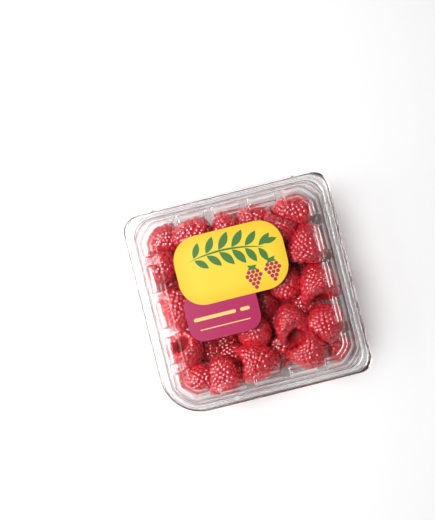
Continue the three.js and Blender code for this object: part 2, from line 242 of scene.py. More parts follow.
class PunnetFruit(bpy.types.PropertyGroup):
    """The raspberries."""

    pitch: length_setting(
        "Drupelet pitch", "Distance from one drupelet to the next", 0.0033, 0.002, 0.006)
    hair_length: length_setting(
        "Hair length", "Longest of the dry hairs that stand on the drupelets", 0.0034, 0.0, 0.008)
    # The deep red, a little dimmed, also paints the shade in the crevices between drupelets
    deep: colour_setting(
        "Deep red", "Colour of the ripest drupelets and of the seams between them",
        (0.5, 0.007, 0.016))
    bright: colour_setting("Bright red", "Colour of the lightest drupelets", (0.88, 0.013, 0.033))
    seed: IntProperty(
        name="Seed", description="Start of the random draws for the fruit", default=1203, min=1)


class PunnetSticker(bpy.types.PropertyGroup):
    """The sticker on the lid."""

    field: colour_setting("Field", "Yellow of the wide field", (0.73, 0.54, 0.03))
    tab: colour_setting("Tab", "Magenta of the lower field", (0.36, 0.007, 0.078))
    leaf: colour_setting("Leaf", "Green of the printed leaves", (0.045, 0.155, 0.027))


class PunnetStage(bpy.types.PropertyGroup):
    """The studio round the punnet."""

    lens: FloatProperty(
        name="Lens", description="Focal length in millimetres on a 36 mm sensor", default=115.0,
        min=20.0, max=300.0)
    sky: FloatProperty(
        name="Surround", description="Brightness of the white surround", default=0.75, min=0.0,
        max=10.0)
    key_watts: FloatProperty(
        name="Key light", description="Power of the main lamp", default=10.6, min=0.0, max=500.0,
        unit="POWER")


def random_stream(seed):
    """Repeatable numbers from 0 to 1: each state is the last one times 16807, modulo 2^31 - 1."""
    factor, modulus = 16807, 2147483647
    state = seed
    while True:
        state = state * factor % modulus
        yield state / modulus


def make_object(name, vertices, faces, material, attributes=None):
    """A smooth mesh object from points in millimetres, faces and values of its points."""
    mesh = bpy.data.meshes.new(name)
    mesh.from_pydata(vertices * MM, [], faces, shade_flat=False)
    if mesh.validate():
        raise ValueError(f"{name} had faces that Blender dropped")
    for label, values in (attributes or {}).items():
        mesh.attributes.new(label, "FLOAT", "POINT").data.foreach_set("value", values)
    mesh.materials.append(material)
    piece = bpy.data.objects.new(name, mesh)
    bpy.context.scene.collection.objects.link(piece)
    return piece


def side_alongs(centres, half, slope):
    """Distances along one side: an even spacing, with closer ones across the slopes of the cuts and
    the buttons."""
    reach = centres.max() + half + 1.5 * slope
    plain = np.linspace(-reach, reach, int(2 * reach / SIDE_SPACING) + 1)
    shares = np.linspace(-0.4, 1.4, 10)
    steps = half + slope * shares
    close = (centres[:, None, None] + np.array([-1, 1])[None, :, None] * steps).ravel()
    button = BUTTON_X + np.linspace(-1, 1, 9) * BUTTON_RADIUS
    every = np.sort(np.concatenate([plain, close, button, -button]))
    keep = np.concatenate([[True], np.diff(every) > 0.05])
    return every[keep]


def box_places(centres, half, slope):
    """The places round the box, counter-clockwise from the front: for each its side, its distance
    along it or its share of the corner's turn, and a mask that is 1 on a crest and 0 in a cut.
    The mask falls by 3t^2 - 2t^3 over the slope."""
    alongs = side_alongs(centres, half, slope)
    distance = np.abs(alongs[:, None] - centres[None, :]).min(axis=1)
    share = np.clip((distance - half) / slope, 0, 1)
    side_mask = share * share * (3 - 2 * share)
    turns = np.linspace(0, 1, CORNER_STEPS + 1)

    def all_round(on_side, on_corner):
        return np.tile(np.concatenate([alongs * 0 + on_side, turns * 0 + on_corner]), 4)

    return {
        "side": np.repeat(np.arange(4), len(alongs) + len(turns)),
        "along": all_round(alongs, 0),
        "turn": all_round(0, turns),
        "corner": all_round(0, 1) > 0,
        "mask": all_round(side_mask, 1),
    }


def facing(side):
    """The direction that side 0 front, 1 right, 2 back or 3 left faces, for an array of sides."""
    angle = (side - 1) * math.pi / 2
    return np.stack([np.round(np.cos(angle)), np.round(np.sin(angle))], axis=-1)


def side_half(half, side):
    """The distance of a side from the middle: half, drawn towards that side's own flange edge over
    the width of the flange."""
    share = np.clip((half - FLANGE_START) / (HALF_WIDTH - FLANGE_START), 0, 1)
    return half - (HALF_WIDTH - FLANGE_EDGES[side % 4]) * share


def ring_points(places, half, z, bend):
    """Points of rings round the box, rings by places. On a side a point is the side's direction
    times half, plus the next side's direction times its distance along. On a corner it is the
    corner's start plus a mix, by bend, of a straight cut and a quarter circle."""
    here = facing(places["side"])
    following = facing((places["side"] + 1) % 4)
    half_here = side_half(half, places["side"])
    half_next = side_half(half, places["side"] + 1)
    growth = np.maximum(half - RIDGE_INNER_HALF, 0) * (2 - math.sqrt(2))
    bend = bend[:, None]
    cut = RIDGE_CHAMFER + growth
    leg = cut + (FLANGE_RADII[places["side"]] - cut) * bend
    turn = places["turn"]
    roundness = np.clip(bend * 2 + 0.25, 0, 1)
    a = (1 - turn) + (np.cos(turn * math.pi / 2) - (1 - turn)) * roundness
    b = turn + (np.sin(turn * math.pi / 2) - turn) * roundness
    on_here = np.where(places["corner"], half_here - leg + leg * a, half_here)
    on_next = np.where(places["corner"], half_next - leg + leg * b, places["along"])
    flat = here * on_here[..., None] + following * on_next[..., None]
    return np.concatenate([flat, z[..., None]], axis=-1)


def about_axis(radius, angle, height):
    """Points at radii, angles and heights round the axis, from arrays that are spread together."""
    parts = np.broadcast_arrays(radius * np.cos(angle), radius * np.sin(angle), height)
    return np.stack(parts, axis=-1)


def rounded_profile(points, curve, steps=4):
    """The profile with each inner corner p turned into the curve (1-t)^2 a + 2t(1-t) p + t^2 b,
    where a and b lie up to the curve's length before and after it."""
    points = np.array(points, dtype=float)
    t = np.linspace(0, 1, steps)[:, None]
    rows = [points[:1]]
    for before, corner, after in zip(points[:-2], points[1:-1], points[2:]):
        back, ahead = before - corner, after - corner
        a = corner + back * min(0.45, curve / np.linalg.norm(back))
        b = corner + ahead * min(0.45, curve / np.linalg.norm(ahead))
        rows.append((1 - t) ** 2 * a + 2 * t * (1 - t) * corner + t**2 * b)
    rows.append(points[-1:])
    return np.concatenate(rows)


def offset_profile(profile, distance):
    """The profile moved sideways, to the right of its run, by a distance, with mitred corners."""
    run = np.diff(profile, axis=0)
    run /= np.linalg.norm(run, axis=1)[:, None]
    normal = np.stack([run[:, 1], -run[:, 0]], axis=1)
    before = np.concatenate([normal[:1], normal])
    after = np.concatenate([normal, normal[-1:]])
    scale = distance / (1 + (before * after).sum(axis=1))
    return profile + (before + after) * scale[:, None]


def shell_grids(places, crest, cut, knots):
    """The upper and lower ring grids of a pressed sheet. crest is its profile where the mask is 1,
    cut the one where it is 0, and the places between mix the two. Its corners are as round as the
    (half, bend) knots say."""
    grids = []
    mask = places["mask"][None, :]
    bend = np.interp(crest[:, 0], *np.array(knots).T)
    for offset in (0, WALL):
        on, off = offset_profile(crest, offset), offset_profile(cut, offset)
        half = off[:, :1] + (on[:, :1] - off[:, :1]) * mask
        z = off[:, 1:] + (on[:, 1:] - off[:, 1:]) * mask
        grids.append(ring_points(places, half, z, bend))
    grids[1][-1, :, :2] = grids[0][-1, :, :2]
    return grids


def ring_faces(rings, count, outward):
    """Quads between neighbouring rings of a grid."""
    i = np.arange(rings - 1)[:, None] * count
    j = np.arange(count)[None, :]
    k = (j + 1) % count
    quads = np.stack([i + j, i + count + j, i + count + k, i + k], axis=-1).reshape(-1, 4)
    return quads if outward else quads[:, ::-1]


def halved(quads):
    """Each quad as two triangles."""
    return np.concatenate([quads[:, [0, 1, 2]], quads[:, [0, 2, 3]]])


def closed_rings(grid, poles, outward):
    """Points and triangles of the solid round a grid of rings, with a fan to a pole at each end."""
    rings, count = grid.shape[:2]
    j = np.arange(count)
    k = (j + 1) % count
    last = (rings - 1) * count
    fans = np.concatenate([
        np.stack([np.full(count, rings * count), j, k], axis=1),
        np.stack([np.full(count, rings * count + 1), last + k, last + j], axis=1),
    ])
    faces = [halved(ring_faces(rings, count, outward)), fans if outward else fans[:, ::-1]]
    return np.concatenate([grid.reshape(-1, 3), poles]), np.concatenate(faces)


def raise_buttons(grid):
    """Lifts the points of a lid grid under each dome by f sqrt(r^2 - d^2), where r is the dome's
    radius, f its flatness and d the distance from its middle."""
    away = np.hypot(np.abs(grid[..., 0]) - BUTTON_X, grid[..., 1] - BUTTON_Y)
    grid[..., 2] += BUTTON_FLATNESS * np.sqrt(np.maximum(BUTTON_RADIUS**2 - away**2, 0))


def lid_profile(top):
    """The lid from its panel outwards: ridge, shoulder, wall, ledge, step and beaded flange."""
    bead = LID_FLANGE_Z + BEAD_HEIGHT
    return [
        [46.0, PANEL_Z], [RIDGE_INNER_HALF, PANEL_Z], [50.3, top], [53.3, top], [55.1, PANEL_Z],
        [56.5, PANEL_Z], [57.2, 38.6], [57.5, 38.4], [58.3, LEDGE_Z], [58.9, LEDGE_Z],
        [59.2, LEDGE_Z + BEAD_HEIGHT], [59.7, LEDGE_Z], [60.3, LEDGE_Z],
        [FLANGE_START, LID_FLANGE_Z], [61.5, LID_FLANGE_Z], [61.9, bead], [62.4, LID_FLANGE_Z],
        [HALF_WIDTH, LID_FLANGE_Z],
    ]


def tray_profile(flute):
    """The tray from its raised floor outwards: foot, leaning wall, shoulder, rolled rim, flange."""
    rim_top = RIM_Z + RIM_BEAD
    return [
        [38.5, 2.45], [40.0, 2.45], [41.6, WALL], [48.0, WALL], [50.0 - flute, 1.9], [56.3, 28.0],
        [57.2, 28.8], [57.6, rim_top], [59.4, rim_top], [59.8, RIM_Z], [HALF_WIDTH, RIM_Z],
    ]


LID_BENDS = [(46, 0), (55.1, 0.02), (56.5, 0.1), (58.3, 0.3), (60.3, 0.6), (63.5, 1)]
TRAY_BENDS = [(40, 0.05), (48, 0.15), (50, 0.2), (56.3, 0.4), (57.6, 0.55), (59.8, 0.7), (63.5, 1)]


def pressed_sheet(name, cuts, profiles, knots, material, raised=None):
    """A pressed sheet with cuts along its sides, given as (centres, half width, slope). profiles
    are the one on the crests and the one in the cuts, and raised changes a finished grid. The
    attribute "across" holds the distance along the profile."""
    curve = bpy.context.scene.punnet_sheet.edge_curve / MM
    crest, cut = (rounded_profile(profile, curve) for profile in profiles)
    upper, lower = shell_grids(box_places(*cuts), crest, cut, knots)
    for grid in (upper, lower) if raised else ():
        raised(grid)
    poles = [[0, 0, grid[0, 0, 2]] for grid in (upper, lower)]
    vertices, faces = closed_rings(np.concatenate([upper, lower[::-1]]), poles, True)
    run = np.concatenate([[0], np.cumsum(np.linalg.norm(np.diff(crest, axis=0), axis=1))])
    across = np.repeat(np.concatenate([run, run[::-1]]), upper.shape[1])
    return make_object(name, vertices, faces, material, {"across": [*across, 0, 0]})


class Graph:
    """Adds nodes to a tree. A value that is a socket is linked, and any other one is set."""

    def __init__(self, tree):
        self.nodes, self.links = tree.nodes, tree.links
        self.nodes.clear()

    def join(self, value, socket):
        if isinstance(value, bpy.types.NodeSocket):
            self.links.new(value, socket)
        else:
            socket.default_value = value

    def node(self, kind, settings=None, **inputs):
        """A shader node with its settings and the values of its named inputs."""
        node = self.nodes.new("ShaderNode" + kind)
        for name, value in (settings or {}).items():
            setattr(node, name, value)
        for name, value in inputs.items():
            self.join(value, node.inputs[name.replace("_", " ")])
        return node

    def ordered(self, kind, settings, values, output=0):
        """An output of a node whose inputs are given in order."""
        node = self.node(kind, settings)
        for value, socket in zip(values, node.inputs):
            self.join(value, socket)
        return node.outputs[output]

    def maths(self, operation, *values):
        return self.ordered("Math", {"operation": operation}, values)

    def vectors(self, operation, *values):
        output = "Value" if operation in ("LENGTH", "DOT_PRODUCT") else "Vector"
        return self.ordered("VectorMath", {"operation": operation}, values, output)

    def attribute(self, name):
        return self.node("Attribute", {"attribute_name": name}).outputs["Fac"]

    def place(self):
        return self.node("TexCoord").outputs["Object"]

    def noise(self, place, scale, detail=2.0):
        return self.node("TexNoise", Vector=place, Scale=scale, Detail=detail).outputs["Fac"]

    def share(self, value, low, high, start=0.0, end=1.0):
        """Goes from start to end while the value goes from low to high."""
        node = self.node(
            "MapRange", Value=value, From_Min=low, From_Max=high, To_Min=start, To_Max=end)
        return node.outputs["Result"]

    def mix(self, share, first, second):
        """A colour between two, given as three numbers or as a socket."""
        node = self.node("Mix", {"data_type": "RGBA"})
        self.join(share, node.inputs[0])
        for colour, socket in zip((first, second), node.inputs[6:8]):
            linked = isinstance(colour, bpy.types.NodeSocket)
            self.join(colour if linked else (*colour, 1), socket)
        return node.outputs[2]


def new_material(name):
    """An empty node material, its graph and the socket that takes its surface."""
    material = bpy.data.materials.new(name)
    material.use_nodes = True
    graph = Graph(material.node_tree)
    return material, graph, graph.node("OutputMaterial").inputs["Surface"]


def new_group(name, inputs, output, kind):
    """An empty node group as its tree, its graph, its inputs' sockets and its output's socket. An
    input without a default is a vector, and the others are numbers."""
    tree = bpy.data.node_groups.new(name, "ShaderNodeTree")
    for label, default in inputs.items():
        own_kind = "NodeSocketVector" if default is None else "NodeSocketFloat"
        socket = tree.interface.new_socket(label, in_out="INPUT", socket_type=own_kind)
        if default is not None:
            socket.default_value = default
    tree.interface.new_socket(output, in_out="OUTPUT", socket_type=kind)
    graph = Graph(tree)
    given = graph.nodes.new("NodeGroupInput").outputs
    return tree, graph, given, graph.nodes.new("NodeGroupOutput").inputs[output]


def ripple_group(name):
    """Normals of a surface with two sizes of unevenness: broad sag and fine grain."""
    tree, graph, given, out = new_group(name, {
        "Vector": None, "Fine Vector": None, "Broad Scale": 40.0, "Broad Height": 0.2,
        "Fine Scale": 1400.0, "Fine Height": 0.1}, "Normal", "NodeSocketVector")
    layers = (("Vector", "Broad", 0.001), ("Fine Vector", "Fine", 0.0002))
    for index, (vector, size, distance) in enumerate(layers):
        height = graph.noise(given[vector], given[f"{size} Scale"], 3.0)
        bump = graph.node("Bump", Strength=given[f"{size} Height"], Distance=distance, Height=height)
        if index:
            graph.join(normal, bump.inputs["Normal"])
        normal = bump.outputs["Normal"]
    graph.join(normal, out)
    return tree


def use_group(graph, name, maker, **inputs):
    """The output of a group, which is made the first time that it is asked for."""
    tree = bpy.data.node_groups.get(name) or maker(name)
    return graph.node("Group", {"node_tree": tree}, **inputs).outputs[0]


def sheet_material(name, broad, streaks):
    """Clear pressed plastic with streaks that run along the pressed edges. Shadow, diffuse and
    reflected rays pass it straight, so that the lamps light the fruit inside. A ray that has gone
    through an odd number of faces is within the sheet, and its reflection is bent as usual."""
    style = bpy.context.scene.punnet_sheet
    material, graph, surface = new_material(name)
    place = graph.place()
    slow = graph.vectors("MULTIPLY", place, (STREAK_DRIFT,) * 3)
    quick = graph.node("CombineXYZ", Z=graph.maths("MULTIPLY", graph.attribute("across"), MM))
    normal = use_group(
        graph, "Surface ripple", ripple_group, Vector=place, Broad_Height=broad,
        Fine_Vector=graph.vectors("ADD", slow, quick.outputs[0]), Fine_Height=streaks)
    sheet = graph.node(
        "BsdfPrincipled", Base_Color=(*style.clearness, 1), IOR=1.57, Roughness=style.roughness,
        Transmission_Weight=1.0, Normal=normal)
    clear = graph.node("BsdfTransparent", Color=(0.985, 0.985, 0.985, 1))
    path = graph.node("LightPath").outputs
    within = graph.maths("MODULO", path["Transmission Depth"], 2.0)
    outside = graph.maths("SUBTRACT", 1.0, within)
    reflected = graph.maths("MULTIPLY", path["Is Reflection Ray"], outside)
    scattered = graph.maths("MAXIMUM", path["Is Diffuse Ray"], reflected)
    passing = graph.maths("MAXIMUM", path["Is Shadow Ray"], scattered)
    shaders = (passing, sheet.outputs[0], clear.outputs[0])
    graph.join(graph.ordered("MixShader", None, shaders), surface)
    return material


def speckled_material(name, scale, first, second, **finish):
    """A plain finish whose colour wanders between two with a noise over the object."""
    material, graph, surface = new_material(name)
    ramp = graph.node("ValToRGB", Fac=graph.noise(graph.place(), scale))
    for element, colour in zip(ramp.color_ramp.elements, (first, second)):
        element.color = (*colour, 1)
    paint = graph.node("BsdfPrincipled", Base_Color=ramp.outputs["Color"], **finish)
    graph.join(paint.outputs[0], surface)
    return material


def dimmed(colour, share):
    """A colour with a share of its brightness."""
    return [channel * share for channel in colour]


def core_material():
    """The heap's middle, in the deep red and half of it: painted shade of the inside of the heap."""
    deep = bpy.context.scene.punnet_fruit.deep
    return speckled_material(
        "heap_middle", 300.0, dimmed(deep, 0.5), deep, Roughness=0.9, Specular_IOR_Level=0.1)


def fruit_material():
    """Drupelet skin: ripeness varies from drupelet to drupelet, and the crevices between
    drupelets are darkened with the deep red as painted shade.
    """
    style = bpy.context.scene.punnet_fruit
    material, graph, surface = new_material("fruit_skin")
    place = graph.place()
    blotch = graph.noise(place, 160.0)
    # The ripeness attribute is set low on the lower layer as painted shade of the heap's depth
    spread = graph.maths("MULTIPLY_ADD", blotch, 0.5, graph.attribute("ripeness"))
    red = graph.mix(graph.share(spread, 0.2, 1.1), style.deep, style.bright)
    # Painted shade: the crevice mask mixes dimmed deep red into the crevices between drupelets
    shade = graph.mix(graph.attribute("seam"), red, dimmed(style.deep, 0.95))
    normal = use_group(
        graph, "Surface ripple", ripple_group, Vector=place, Fine_Vector=place,
        Broad_Scale=700.0, Broad_Height=0.07, Fine_Scale=4000.0, Fine_Height=0.05)
    skin = graph.node(
        "BsdfPrincipled", Base_Color=shade, Normal=normal, Roughness=0.4, IOR=1.3,
        Coat_Weight=1.0, Coat_Roughness=0.1, Coat_IOR=1.78, Subsurface_Weight=0.8,
        Subsurface_Radius=(1.0, 0.12, 0.1), Subsurface_Scale=0.0028, Sheen_Weight=0.05,
        Sheen_Roughness=0.35, Sheen_Tint=(1.0, 0.4, 0.55, 1))
    graph.join(skin.outputs[0], surface)
    return material


def flesh_material():
    """The dull inside of a berry's cup and the body under its drupelets, in the fruit's reds at
    half brightness: painted shade of the hollow.
    """
    style = bpy.context.scene.punnet_fruit
    return speckled_material(
        "cup_flesh", 400.0, dimmed(style.deep, 0.5), dimmed(style.bright, 0.5), Roughness=0.6,
        Specular_IOR_Level=0.25)


def hair_material():
    """Dry pale hairs, redder in places."""
    return speckled_material("dry_hair", 90.0, (0.5, 0.1, 0.07), (0.8, 0.42, 0.3), Roughness=0.5)


def floor_material():
    """The nearly white floor."""
    return speckled_material("pale_floor", 3.0, [0.87] * 3, [0.9] * 3, Roughness=0.8)


def leaf_group(name):
    """A leaf, or a thin stem: 1 where w (1 - x^2 / l^2) > |y - b x^2|, in a frame with its x along
    the leaf, its half length l, its half width w and its bend b."""
    tree, graph, given, out = new_group(name, {
        "Vector": None, "Centre": None, "Turn": 0.0, "Half Length": 0.005, "Half Width": 0.002,
        "Bend": 0.0}, "Mask", "NodeSocketFloat")
    turn = graph.node(
        "VectorRotate", {"rotation_type": "Z_AXIS"}, Vector=given["Vector"],
        Center=given["Centre"], Angle=graph.maths("MULTIPLY", given["Turn"], -1.0))
    local = graph.vectors("SUBTRACT", turn.outputs[0], given["Centre"])
    split = graph.node("SeparateXYZ", Vector=local).outputs
    square = graph.maths("MULTIPLY", split["X"], split["X"])
    bent = graph.maths("MULTIPLY", square, given["Bend"])
    aside = graph.maths("ABSOLUTE", graph.maths("SUBTRACT", split["Y"], bent))
    longest = graph.maths("MULTIPLY", given["Half Length"], given["Half Length"])
    narrowing = graph.maths("SUBTRACT", 1.0, graph.maths("DIVIDE", square, longest))
    width = graph.maths("MULTIPLY", given["Half Width"], narrowing)
    inside = graph.maths("SUBTRACT", width, aside)
    graph.join(graph.share(inside, -PRINT_EDGE, PRINT_EDGE), out)
    return tree


def block_group(name):
    """A block with round corners: 1 where |max(|p - c| - h + r, 0)| < r, with centre c, half sizes
    h and radius r, falling over the width of its edge."""
    tree, graph, given, out = new_group(name, {
        "Vector": None, "Centre": None, "Half Size": None, "Radius": 0.001,
        "Edge": PRINT_EDGE}, "Mask", "NodeSocketFloat")
    from_centre = graph.vectors("SUBTRACT", given["Vector"], given["Centre"])
    radius = graph.node("CombineXYZ", X=given["Radius"], Y=given["Radius"]).outputs[0]
    inner = graph.vectors("SUBTRACT", given["Half Size"], radius)
    past = graph.vectors("SUBTRACT", graph.vectors("ABSOLUTE", from_centre), inner)
    flat = graph.vectors("MULTIPLY", graph.vectors("MAXIMUM", past, (0, 0, 0)), (1, 1, 0))
    inside = graph.maths("SUBTRACT", given["Radius"], graph.vectors("LENGTH", flat))
    graph.join(graph.share(inside, 0.0, given["Edge"]), out)
    return tree


def leaf_mask(graph, place, leaf):
    """The mask of a leaf, given as (x, y, turn, half length, half width, bend)."""
    x, y, turn, length, width, bend = leaf
    return use_group(
        graph, "Leaf mask", leaf_group, Vector=place, Centre=(x * MM, y * MM, 0),
        Turn=math.radians(turn), Half_Length=length * MM, Half_Width=width * MM, Bend=bend / MM)


def block_mask(graph, place, block, edge=PRINT_EDGE):
    """The mask of a block, given as (x, y, half width, half height, radius)."""
    x, y, width, height, radius = (size * MM for size in block)
    return use_group(
        graph, "Block mask", block_group, Vector=place, Centre=(x, y, 0),
        Half_Size=(width, height, 1), Radius=radius, Edge=edge)


def print_mask(graph, place, shapes):
    """One mask of many leaves, which have six values each, and blocks, which have five: the
    largest of their masks."""
    masks = [
        leaf_mask(graph, place, shape) if len(shape) == 6 else block_mask(graph, place, shape)
        for shape in shapes]
    whole, *others = masks
    for mask in others:
        whole = graph.maths("MAXIMUM", whole, mask)
    return whole


def sprig_leaves():
    """The sprig's stem, its leaves in pairs along the stem and one at the stem's end."""
    turn = math.radians(SPRIG_TURN)
    ahead = np.array([math.cos(turn), math.sin(turn)])
    aside = np.array([-math.sin(turn), math.cos(turn)])
    shapes = [(*SPRIG_CENTRE, SPRIG_TURN, SPRIG_HALF, 0.6, SPRIG_BEND)]
    for along in np.linspace(-0.82, 0.82, SPRIG_PAIRS) * SPRIG_HALF:
        foot = SPRIG_CENTRE + ahead * along + aside * SPRIG_BEND * along**2
        slope = SPRIG_TURN + math.degrees(math.atan(2 * SPRIG_BEND * along))
        size = 6.2 * (1 - 0.25 * abs(along) / SPRIG_HALF)
        for swing in (52, -52):
            angle = math.radians(slope + swing)
            centre = foot + (size + 0.6) * np.array([math.cos(angle), math.sin(angle)])
            bend = math.copysign(0.012, swing)
            shapes.append((*centre, slope + swing, size, size * 0.4, bend))
    tip = SPRIG_CENTRE + ahead * (SPRIG_HALF + 3)
    return [*shapes, (*tip, SPRIG_TURN + 8, 4.6, 1.7, 0.0)]


def printed_berry(x, y):
    """A berry of round dots in rows that narrow downwards."""
    return [
        (x + (place - (count - 1) / 2) * DOT * 2.15, y - row * DOT * 1.87, DOT, DOT, DOT)
        for row, count in enumerate((3, 4, 3, 2, 1)) for place in range(count)]


def print_material():
    """The sticker's print: fields of colour, a sprig, two berries and plain bars."""
    style = bpy.context.scene.punnet_sticker
    material, graph, surface = new_material("sticker_print")
    coordinates = graph.node("TexCoord").outputs
    place = coordinates["Object"]
    edge = [a * b for a, b in zip(style.field, FIELD_EDGE_SHARE)]
    yellow = graph.mix(block_mask(graph, place, FIELD_BLOCK, FIELD_FADE), edge, style.field)
    dots = [dot for x, y, _ in PRINTED_BERRIES for dot in printed_berry(x, y)]
    caps = [
        (x, y + 2.6, turn, 3.2, 1.1, 0.0)
        for x, y, lean in PRINTED_BERRIES for turn in (lean, lean + 130)]
    layers = [
        ([FIELD_BLOCK], yellow), (sprig_leaves(), style.leaf), (dots, style.tab),
        (caps, style.leaf), (TAB_BARS, BAR_COLOUR)]
    colour = style.tab
    for shapes, paint in layers:
        colour = graph.mix(print_mask(graph, place, shapes), colour, paint)
    up = graph.node("SeparateXYZ", Vector=coordinates["Normal"]).outputs["Z"]
    both_sides = graph.mix(graph.share(up, -0.3, 0.3), PAPER_BACK, colour)
    paper = graph.node(
        "BsdfPrincipled", Base_Color=both_sides, Roughness=0.35, Specular_IOR_Level=0.3)
    graph.join(paper.outputs[0], surface)
    return material


def berry_radius(share):
    """Radius of a berry over its widest, at a share s of its length from open end to tip. With w
    the share of the widest place, it is (1 - u^2.3)^0.6 beyond w, where u = (s - w) / (1 - w), and
    (1 - d^2.6 / 2)^0.5 before it, where d = (w - s) / w."""
    widest = 0.34
    up = np.clip((share - widest) / (1 - widest), 0, 1)
    down = np.clip((widest - share) / widest, 0, 1)
    return np.where(share > widest, (1 - up**2.3) ** 0.6, np.sqrt(1 - 0.5 * down**2.6))


def berry_outline(length, width, inset):
    """The berry's profile as (radius, height) points, from the edge of its cup over the rim to the
    tip, and its outward normals. inset moves it inwards."""
    shares = np.concatenate([[0.0], np.linspace(0.04, 1, 60)])
    outer = np.stack([berry_radius(shares) * width / 2, (shares - 0.5) * length], axis=1)
    cup_edge = np.array([[width * 0.27, -length / 2 + 0.5]])
    line = np.concatenate([cup_edge, outer])
    run = np.gradient(line, axis=0)
    run /= np.linalg.norm(run, axis=1)[:, None]
    normal = np.stack([run[:, 1], -run[:, 0]], axis=1)
    return line - normal * inset, normal


def drupelet_places(length, width, pitch, random):
    """Centres and normals of the drupelets. One row stands round the rim; the others follow a
    spiral in which each is turned by the golden angle from the last and each has the same share of
    the surface, and all are moved a little at random."""
    line, normal = berry_outline(length, width, 0)
    steps = np.linalg.norm(np.diff(line, axis=0), axis=1)
    run = np.concatenate([[0], np.cumsum(steps)])
    rim_distance, start = 0.35 * pitch, 0.95 * pitch
    rim_count = int(round(2 * math.pi * np.interp(rim_distance, run, line[:, 0]) / pitch))
    strip = steps * math.pi * (line[1:, 0] + line[:-1, 0])
    area = np.concatenate([[0], np.cumsum(strip)])
    area = np.maximum(area - np.interp(start, run, area), 0)
    count = int(round(area[-1] / (0.8 * pitch**2)))
    order = np.arange(count) + 0.5
    spiral = np.interp(order / count * area[-1], area, run)
    distance = np.concatenate([np.full(rim_count, rim_distance), spiral])
    distance += (random.random(len(distance)) - 0.5) * 0.4 * pitch
    angle = np.concatenate([
        np.arange(rim_count) / rim_count * 2 * math.pi, order * GOLDEN_ANGLE])
    r, z = np.interp(distance, run, line[:, 0]), np.interp(distance, run, line[:, 1])
    nr, nz = np.interp(distance, run, normal[:, 0]), np.interp(distance, run, normal[:, 1])
    angle += (random.random(len(angle)) - 0.5) * 0.45 * pitch / np.maximum(r, pitch)
    normals = about_axis(nr, angle, nz)
    return about_axis(r, angle, z), normals / np.linalg.norm(normals, axis=1)[:, None]


def cap_template(segments, polar_degrees):
    """A cap of the unit sphere round +Z: a pole and rings at the given angles from it."""
    polar = np.radians(polar_degrees)[:, None]
    around = np.arange(segments) / segments * 2 * math.pi
    rings = about_axis(np.sin(polar), around, np.cos(polar))
    j = np.arange(segments)
    fan = np.stack([j * 0, 1 + j, 1 + (j + 1) % segments], axis=1)
    faces = [fan, halved(ring_faces(len(polar), segments, True)) + 1]
    return np.concatenate([[[0, 0, 1]], rings.reshape(-1, 3)]), np.concatenate(faces)


def side_axes(normals):
    """Two unit vectors at right angles to each normal and to each other."""
    helper = np.where(np.abs(normals[:, 2:]) > 0.8, [[1.0, 0, 0]], [[0, 0, 1.0]])
    first = np.cross(helper, normals)
    first /= np.linalg.norm(first, axis=1)[:, None]
    return first, np.cross(normals, first)


def drupelets(length, width, pitch, segments, polar_degrees, random):
    """All drupelets of one berry in its own frame: caps of ellipsoids whose tops touch the berry's
    envelope and whose sides cross, with a random size, and each one's ripeness and its mask of
    painted crevice shade, which rises towards the cap's edge."""
    centres, normals = drupelet_places(length, width, pitch, random)
    count = len(centres)
    first, second = side_axes(normals)
    radius = pitch * (0.78 + 0.2 * (random.random(count) - 0.5))
    spin = random.random(count) * 2 * math.pi
    across = first * np.cos(spin)[:, None] + second * np.sin(spin)[:, None]
    along = np.cross(normals, across)
    stretch = 1 + 0.14 * (random.random((count, 3)) - 0.5)
    lift = 0.4 * (random.random(count) - 0.6)
    template, faces = cap_template(segments, polar_degrees)
    core = centres - normals * (radius * 0.98 - lift)[:, None]
    axes = np.stack([across, along, normals], axis=1) * (radius[:, None] * stretch)[..., None]
    points = core[:, None] + template @ axes
    tops = core + axes[:, 2]
    ripeness = np.repeat(random.random(count), len(template))
    # Painted shade mask: the cap darkens towards its edge, where it sinks between its neighbours
    seam = np.tile(np.clip((0.62 - template[:, 2]) / 0.5, 0, 1), count)
    all_faces = (faces[None] + (np.arange(count) * len(template))[:, None, None]).reshape(-1, 3)
    return points.reshape(-1, 3), all_faces, ripeness, seam, tops, normals


def cup_body(length, width, pitch, segments):
    """The body under the drupelets with its cup: a profile turned round the axis, from the middle of
    the cup's floor up its wall, over the rim and round the outside to the tip."""
    depth, floor_radius, mouth = length * 0.58, width * 0.12, width * 0.25
    floor = -length / 2 + depth
    cup = [[floor_radius * 0.6, floor - 0.2], [floor_radius, floor - 1.4]]
    cup += [[floor_radius + (mouth - floor_radius) * t, floor - 1.4 - (depth - 2.4) * t]
            for t in (0.35, 0.7, 1.0)]
    outer, _ = berry_outline(length, width, 0.4 * pitch)
    outer = outer[1:-1:5]
    outer[0, 0] = max(outer[0, 0], mouth + 0.5)
    profile = np.concatenate([np.array(cup), outer])
    around = np.arange(segments) / segments * 2 * math.pi
    poles = [[0, 0, floor], [0, 0, profile[-1, 1] + 0.3]]
    return closed_rings(about_axis(profile[:, :1], around, profile[:, 1:]), poles, True)


